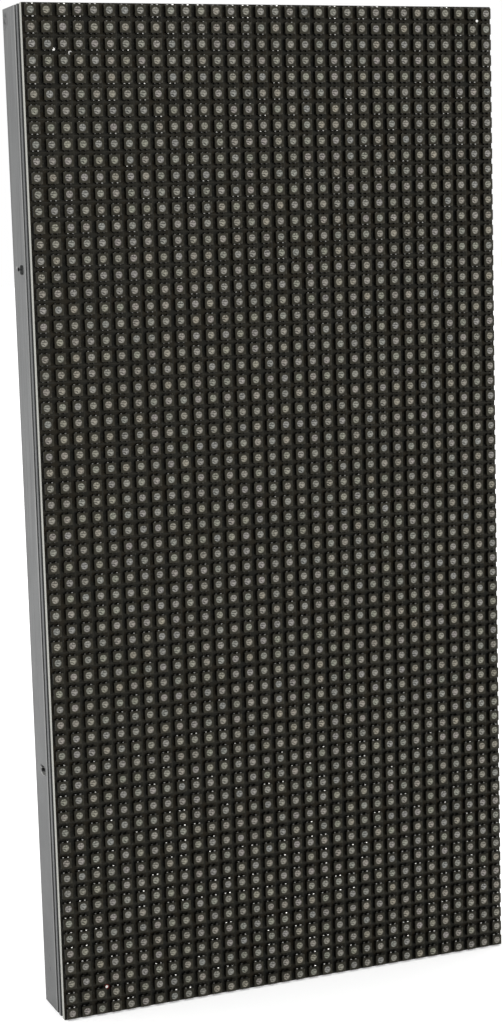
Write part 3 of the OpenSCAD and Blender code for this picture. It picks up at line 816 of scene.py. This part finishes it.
can_legs = [loft([slab_ring(0.35, 0.55, 0.05, height, 0, z) for height in (0.0, 0.16)])
            for z in (-CAN_LEAD_Z, CAN_LEAD_Z)]
make_piece("can_leads", repeated(joined(can_legs), can_seats), tin_finish)
can_pads = [loft([slab_ring(0.65, 0.85, 0.08, 0.0, 0, z), slab_ring(0.62, 0.82, 0.08, 0.05, 0, z),
                  slab_ring(0.38, 0.60, 0.05, 0.14, 0, z)])
            for z in (-CAN_LEAD_Z - 0.1, CAN_LEAD_Z + 0.1)]
joints.append(repeated(joined(can_pads), can_seats))

# --------------------------------------------------------------------
# Data headers
# Two boxed headers of glass-filled black plastic with sixteen gold-plated square pins in
# each, pressed through the floor and pointed at the tip. The ribbon leads are left off.
# --------------------------------------------------------------------
header_finish = cloudy_finish(
    "header_black_plastic", 5.0, 0.25, (0.014, 0.014, 0.015), (0.034, 0.034, 0.035),
    (0.32, 0.52), 0.02, specks=(1.5, 0.05, 0.12, 0.4, (0.12, 0.12, 0.11)), IOR=1.5)
for name in ("data_in_shroud", "data_out_shroud", "capacitor_bases"):
    wear_finish(name, header_finish)

DATA_PITCH = 2.54
PIN_HALF = 0.32
PIN_HEIGHT = 8.2


def pin(half, height, tip, at_x=0.0, at_z=0.0):
    """A square pin that tapers over the length of its tip."""
    return loft([slab_ring(half, half, half * 0.15, 0, at_x, at_z),
                 slab_ring(half, half, half * 0.15, height - tip, at_x, at_z),
                 slab_ring(half * 0.45, half * 0.45, half * 0.1, height, at_x, at_z)])


gold_finish = cloudy_finish("pin_gold", 5.0, 0.6, (0.72, 0.50, 0.20), (0.90, 0.70, 0.36),
                            (0.16, 0.34), 0.008, "Height", Metallic=1.0)
data_pins = joined([pin(PIN_HALF, PIN_HEIGHT, 0.6, x, z) for x in in_row(8, DATA_PITCH)
                    for z in in_row(2, DATA_PITCH)])
for name, z in (("data_in_pins", -window_step), ("data_out_pins", window_step)):
    pins = make_piece(name + "_plated", moved(data_pins, behind(0, z)), gold_finish)
    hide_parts(name)

# --------------------------------------------------------------------
# Power header
# Four thick tinned pins in an off-white nylon base. The wall on one side carries a ridge
# that the plug's catch snaps over.
# --------------------------------------------------------------------
BASE_HALF_X = 7.9
BASE_HALF_Z = 4.25
BASE_TOP = 3.4
WALL_HALF = 5.92
WALL_THICK = 1.3
WALL_TOP = 9.6
POST_HALF = 0.57
POST_PITCH = 3.96
nylon_finish = cloudy_finish(
    "header_nylon", 4.0, 0.2, (0.66, 0.64, 0.55), (0.76, 0.745, 0.66), (0.34, 0.50), 0.015,
    specks=(1.2, 0.05, 0.1, 0.5, (0.36, 0.33, 0.27)), IOR=1.52, Subsurface_Weight=0.15,
    Subsurface_Scale=0.0006)
base = loft([slab_ring(BASE_HALF_X - 0.06, BASE_HALF_Z - 0.06, 0.2, 0.0),
             slab_ring(BASE_HALF_X, BASE_HALF_Z, 0.25, 0.12),
             slab_ring(BASE_HALF_X, BASE_HALF_Z, 0.25, BASE_TOP - 0.15),
             slab_ring(BASE_HALF_X - 0.12, BASE_HALF_Z - 0.12, 0.22, BASE_TOP)])
inside = BASE_HALF_Z - WALL_THICK
wall_line = ((BASE_HALF_Z, 0.3), (BASE_HALF_Z, WALL_TOP - 0.15), (BASE_HALF_Z - 0.15, WALL_TOP),
             (inside + 0.15, WALL_TOP), (inside - 0.35, WALL_TOP - 0.9), (inside - 0.45, WALL_TOP - 1.3),
             (inside, WALL_TOP - 1.7), (inside, 0.3))
wall = loft([[(end * WALL_HALF, -h, z) for z, h in wall_line] for end in (-1, 1)])
body = make_piece("power_header_housing", moved(joined([base, wall]), behind(0, 0)),
                  nylon_finish, sharp=30)
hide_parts("power_header_body")
power_pins = joined([pin(POST_HALF, WALL_TOP, 0.9, x) for x in in_row(4, POST_PITCH)])
pins = make_piece("power_header_posts", moved(power_pins, behind(0, 0)), tin_finish)
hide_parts("power_header_pins")

# --------------------------------------------------------------------
# Solder
# Fillets of tin alloy between the leads or metal ends of every part and its pads on the
# back of the board: the paste was printed on, the parts set in it, and the board heated.
# --------------------------------------------------------------------
make_piece("solder_joints", joined(joints), tin_finish, sharp=60)

# --------------------------------------------------------------------
# Soldered nuts and board screws
# Round steel nuts stand on the board; pan-head screws with cross recesses clamp the frame
# to them, deep in the frame's bosses.
# --------------------------------------------------------------------
screw_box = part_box("board_screws")
HEAD_RADIUS = 2.3
HEAD_HEIGHT = 1.6
head_seat = (screw_box[1].y - board_back) / MM - HEAD_HEIGHT
screw_x = screw_box[1].x / MM - HEAD_RADIUS
screw_outer = (screw_box[1].z - board_middle) / MM - HEAD_RADIUS
screw_inner = window_step / 2


def cross_ring(arm, half_width, height):
    """Twenty-four points round a cross."""
    ring = []
    middle = (arm + half_width) / 2
    for c, s in ((1, 0), (0, 1), (-1, 0), (0, -1)):
        for u, v in ((arm, -half_width), (arm, 0), (arm, half_width), (middle, half_width),
                     (half_width, half_width), (half_width, middle)):
            ring.append((u * c - v * s, -height, u * s + v * c))
    return ring[-1:] + ring[:-1]


def screw():
    """Shank, head with a rounded rim, and a tapered cross recess."""
    turns = [math.atan2(z, x) for x, _, z in cross_ring(1.3, 0.3, 0)]
    rings = []
    for r, h in ((1.2, 0.3), (1.2, head_seat), (HEAD_RADIUS - 0.1, head_seat),
                 (HEAD_RADIUS, head_seat + 0.15), (HEAD_RADIUS, head_seat + 0.75),
                 (HEAD_RADIUS - 0.15, head_seat + 1.15), (HEAD_RADIUS - 0.55, head_seat + 1.45)):
        rings.append([(r * math.cos(a), -h, r * math.sin(a)) for a in turns])
    rings += [cross_ring(1.3, 0.30, head_seat + HEAD_HEIGHT), cross_ring(1.15, 0.24, head_seat + 1.2),
              cross_ring(0.55, 0.16, head_seat + 0.45)]
    return loft(rings)


zinc_finish = cloudy_finish("zinc_plate", 5.0, 0.5, (0.42, 0.42, 0.41), (0.66, 0.67, 0.68),
                            (0.22, 0.45), 0.012, "Height", Metallic=1.0)
screw_places = [(x, z) for x in (-screw_x, screw_x)
                for z in (-screw_outer, -screw_inner, screw_inner, screw_outer)]
skins = [moved(screw(), behind(*p) @ Matrix.Rotation(led_rng.uniform(0, math.pi), 4, "Y"))
         for p in screw_places]
heads = make_piece("cross_recess_screws", joined(skins), zinc_finish, sharp=32)
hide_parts("board_screws")
wear_finish("solder_nuts", tin_finish)

# --------------------------------------------------------------------
# Threaded inserts
# Turned brass bushes pressed into the six corner and side bosses, flush with the rear
# plane, with a chamfered mouth and an M3 thread.
# --------------------------------------------------------------------
insert_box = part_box("mount_inserts")
INSERT_RADIUS = 2.1
INSERT_LENGTH = 6.0
MOUTH_DEPTH = 0.32
THREAD_PITCH = 0.5
THREAD_ROOT = 1.46
THREAD_CREST = 1.26
insert_rear = (insert_box[1].y - board_back) / MM
insert_x = insert_box[1].x / MM - INSERT_RADIUS
insert_z = (insert_box[1].z - board_middle) / MM - INSERT_RADIUS
line = [(INSERT_RADIUS, insert_rear - INSERT_LENGTH), (INSERT_RADIUS, insert_rear - 0.12),
        (INSERT_RADIUS - 0.12, insert_rear), (1.62, insert_rear),
        (1.28, insert_rear - MOUTH_DEPTH)]
depth = MOUTH_DEPTH
while depth < INSERT_LENGTH - 2 * THREAD_PITCH:
    line += [(THREAD_ROOT, insert_rear - depth - THREAD_PITCH * 0.45),
             (THREAD_CREST, insert_rear - depth - THREAD_PITCH * 0.95)]
    depth += THREAD_PITCH
line += [(THREAD_CREST, insert_rear - INSERT_LENGTH),
         (INSERT_RADIUS, insert_rear - INSERT_LENGTH)]
bush = loft([circle_ring(r, h, 32) for r, h in line], start=False, end=False)
brass_finish = cloudy_finish("turned_brass", 6.0, 0.4, (0.50, 0.36, 0.15), (0.78, 0.62, 0.32),
                             (0.20, 0.42), 0.01, Metallic=1.0)
seats = [behind(x, z) for x in (-insert_x, insert_x) for z in (-insert_z, 0, insert_z)]
bushes = make_piece("brass_bushes", repeated(bush, seats), brass_finish, sharp=40)
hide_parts("mount_inserts")

# --------------------------------------------------------------------
# Rear frame
# One moulding of dark grey satin plastic: outer wall with two grooves and a bead beside
# the board, a ribbed floor round three windows, and the bosses for bushes and screws.
# --------------------------------------------------------------------
OUTER_WALL = 47.0
DIMPLE_Y = 1.025
DIMPLE_Z = 47.95
BEAD_FRONT = -3.475
BEAD_REAR = -2.475
WALL_FRONT = -1.575
# The marks are painted shade in and beside the two dimples, the first a dark spot painted for a small
# hole. A mark is given by how far rearward and how far above the middle it lies, its half sizes, its
# darkness and its softness. The smudges are all alike in softness.
DIMPLE_SHADE_MARKS = ((DIMPLE_Y + 2.1, DIMPLE_Z + 0.1, 0.9, 0.50, 1.0, 0.35),
         (DIMPLE_Y + 0.9, DIMPLE_Z + 0.62, 0.8, 0.4, 0.32, 0.5),
         (DIMPLE_Y + 0.9, DIMPLE_Z - 0.62, 0.8, 0.4, 0.36, 0.5),
         (DIMPLE_Y + 1.4, 0.70 - DIMPLE_Z, 0.8, 0.36, 0.9, 0.4),
         (DIMPLE_Y + 1.2, -0.12 - DIMPLE_Z, 0.7, 0.36, 0.85, 0.4))
SMUDGES = ((4.7, 93.6, 2.2, 2.4, 1.0), (2.5, -85.9, 0.9, 1.2, 0.7), (2.4, -88.3, 0.9, 1.0, 0.7),
           (4.5, -93.1, 1.2, 1.0, 0.6), (3.2, -91.5, 0.5, 1.6, 0.5))
PLASTIC_DARK = (0.076, 0.079, 0.079, 1)
PLASTIC_PALE = (0.094, 0.097, 0.096, 1)
PLASTIC_SPECK = (0.22, 0.22, 0.21, 1)
PLASTIC_HIGHLIGHT = (0.30, 0.30, 0.29, 1)
DIRT_AND_SHADE = (0.010, 0.010, 0.011, 1)
frame_finish, tree, shader = new_finish("frame_satin_plastic", IOR=1.5)
point = place_mm(tree)
x, y, z = parts_of(tree, point)
left = calc(tree, "LESS_THAN", x, -OUTER_WALL)
texture = use_group(tree, grain, Grains_per_mm=5.0, Clouds_per_mm=0.04)
specks = use_group(tree, dust, Cells_per_mm=0.5, Share=0.04, Size=0.1)["Mask"]
grey = mix(tree, texture["Clouds"], PLASTIC_DARK, PLASTIC_PALE)


def blot(tree, at_y, at_z, half_y, half_z, soft=0.5):
    """A soft oval patch on the left long side: 1 inside, 0 outside."""
    dy = calc(tree, "DIVIDE", calc(tree, "SUBTRACT", y, at_y), half_y)
    dz = calc(tree, "DIVIDE", calc(tree, "SUBTRACT", z, board_middle / MM + at_z), half_z)
    return times(tree, spread(tree, distance(tree, dy, dz), 1 - soft, 1, 1, 0), left)


# Dirt and painted shade dull the plastic: streaks drawn down the sides; the left side darker towards the
# bottom; painted shade along the rear edge, over the bead and over the groove in front of it; the
# painted-shade marks at the two dimples; and smudges of dirt near the ends.
stretched = put(tree, "Mapping", Vector=point)
stretched.inputs["Scale"].default_value = (0.5, 1.4, 0.035)
streaks = put(tree, "TexNoise", Vector=stretched.outputs[0], Scale=1.0, Detail=3.0).outputs[0]
long_side = calc(tree, "GREATER_THAN", calc(tree, "ABSOLUTE", x), OUTER_WALL)
streaks = spread(tree, streaks, 0.42, 0.64, 0, 1)
dirt_and_shade = most(tree, times(tree, streaks, spread(tree, long_side, 0, 1, 0.14, 0.34)),
            times(tree, left, spread(tree, z, 20, 110, 0.40, 0)),
            spread(tree, y, 5.3, 5.9, 0, 0.34),
            spread(tree, y, BEAD_REAR - 0.1, BEAD_REAR, 0.34, 0),
            spread(tree, y, BEAD_FRONT - 0.1, BEAD_FRONT, 0.50, 0))
for at_y, at_z, half_y, half_z, dark, soft in DIMPLE_SHADE_MARKS:
    mark = times(tree, blot(tree, at_y, at_z, half_y, half_z, soft), dark)
    dirt_and_shade = most(tree, dirt_and_shade, mark)
patchy = put(tree, "TexNoise", Vector=point, Scale=0.9, Detail=4.0).outputs[0]
for at_y, at_z, half_y, half_z, dark in SMUDGES:
    smudge = spread(tree, patchy, 0.36, 0.54, 0, dark)
    smudge = times(tree, blot(tree, at_y, at_z, half_y, half_z, 0.8), smudge)
    dirt_and_shade = most(tree, dirt_and_shade, smudge)
# Painted highlights: a pale strip along the front edge of the wall, and pale spots beside the dimple
# marks.
front_edge_highlight = spread(tree, y, WALL_FRONT + 0.4, WALL_FRONT + 0.9, 0.5, 0)
front_edge_highlight = times(tree, front_edge_highlight, calc(tree, "GREATER_THAN", y, WALL_FRONT))
pale = most(tree, front_edge_highlight,
            blot(tree, DIMPLE_Y + 3.3, DIMPLE_Z + 0.4, 0.35, 0.3),
            blot(tree, DIMPLE_Y + 1.3, 0.29 - DIMPLE_Z, 0.9, 0.14),
            blot(tree, DIMPLE_Y + 0.6, -0.78 - DIMPLE_Z, 1.4, 0.34, 0.3))
grey = mix(tree, times(tree, specks, 0.35), grey, PLASTIC_SPECK)
grey = mix(tree, pale, grey, PLASTIC_HIGHLIGHT)
shine = times(tree, calc(tree, "SUBTRACT", 1.0, dirt_and_shade), 0.5)
feed(tree, shader,
     Base_Color=mix(tree, dirt_and_shade, grey, DIRT_AND_SHADE),
     Specular_IOR_Level=shine,
     Roughness=spread(tree, texture["Clouds"], 0.3, 0.7, 0.34, 0.46),
     Normal=bump(tree, texture["Height"], 0.02))
wear_finish("rear_frame", frame_finish)

# --------------------------------------------------------------------
# Floor, light and camera
# A white floor under the tile, an even white room, and three soft boxes. The camera stands
# off to the left, a little above the middle, and looks at the tile's front and left side.
# --------------------------------------------------------------------
FLOOR_HALF = 6
LAMPS = (("upper_box", (-0.5, -1.0, 1.5), 0.8, 6), ("left_box", (-1.6, 0.5, 0.3), 0.9, 2),
         ("front_box", (0.45, -1.15, 0.36), 0.32, 1.0))
LAMPS_LOOK_AT = (0, 0, 0.096)
CAMERA_PLACE = (-0.1547, -0.3652, 0.1493)
CAMERA_LOOKS = (0.3545, 0.9247, -0.1388)
CAMERA_DOWN = (-0.0798, -0.1180, -0.9898)
floor_mesh = bpy.data.meshes.new("floor")
floor_corners = [(s * FLOOR_HALF, t * FLOOR_HALF, 0) for s, t in ((-1, -1), (1, -1), (1, 1), (-1, 1))]
floor_mesh.from_pydata(floor_corners, [], [(0, 1, 2, 3)])
floor = bpy.data.objects.new("floor", floor_mesh)
bpy.context.scene.collection.objects.link(floor)
floor_finish, tree, shader = new_finish(
    "floor_white", Emission_Color=(1, 1, 1, 1), Emission_Strength=0.30)
texture = use_group(tree, grain, Grains_per_mm=0.5, Clouds_per_mm=0.01)
feed(tree, shader,
     Base_Color=mix(tree, texture["Clouds"], (0.93, 0.93, 0.93, 1), (0.96, 0.96, 0.96, 1)),
     Roughness=spread(tree, texture["Clouds"], 0.3, 0.7, 0.86, 0.94))
floor_mesh.materials.append(floor_finish)

room = bpy.data.worlds.new("room")
room.use_nodes = True
walls = room.node_tree.nodes["Background"]
walls.inputs["Color"].default_value = (1.0, 1.0, 1.0, 1)
walls.inputs["Strength"].default_value = 1.0
bpy.context.scene.world = room

for name, place, size, power in LAMPS:
    lamp = bpy.data.lights.new(name, "AREA")
    lamp.size = size
    lamp.energy = power
    box = bpy.data.objects.new(name, lamp)
    box.location = place
    aim = Vector(LAMPS_LOOK_AT) - Vector(place)
    box.rotation_euler = aim.to_track_quat("-Z", "Y").to_euler()
    bpy.context.scene.collection.objects.link(box)

lens_data = bpy.data.cameras.new("camera")
lens_data.sensor_width = 36
lens_data.lens = 71.17
lens_data.shift_x = 0.0520
lens_data.shift_y = 0.0065
lens_data.clip_start = 0.01
lens_data.clip_end = 50
camera = bpy.data.objects.new("camera", lens_data)
look = Vector(CAMERA_LOOKS).normalized()
right = Vector(CAMERA_DOWN).normalized().cross(look).normalized()
down = look.cross(right).normalized()
turn = Matrix((right, -down, -look)).transposed()
camera.matrix_world = Matrix.Translation(CAMERA_PLACE) @ turn.to_4x4()
bpy.context.scene.collection.objects.link(camera)
bpy.context.scene.camera = camera
bpy.context.scene.view_settings.view_transform = "Standard"
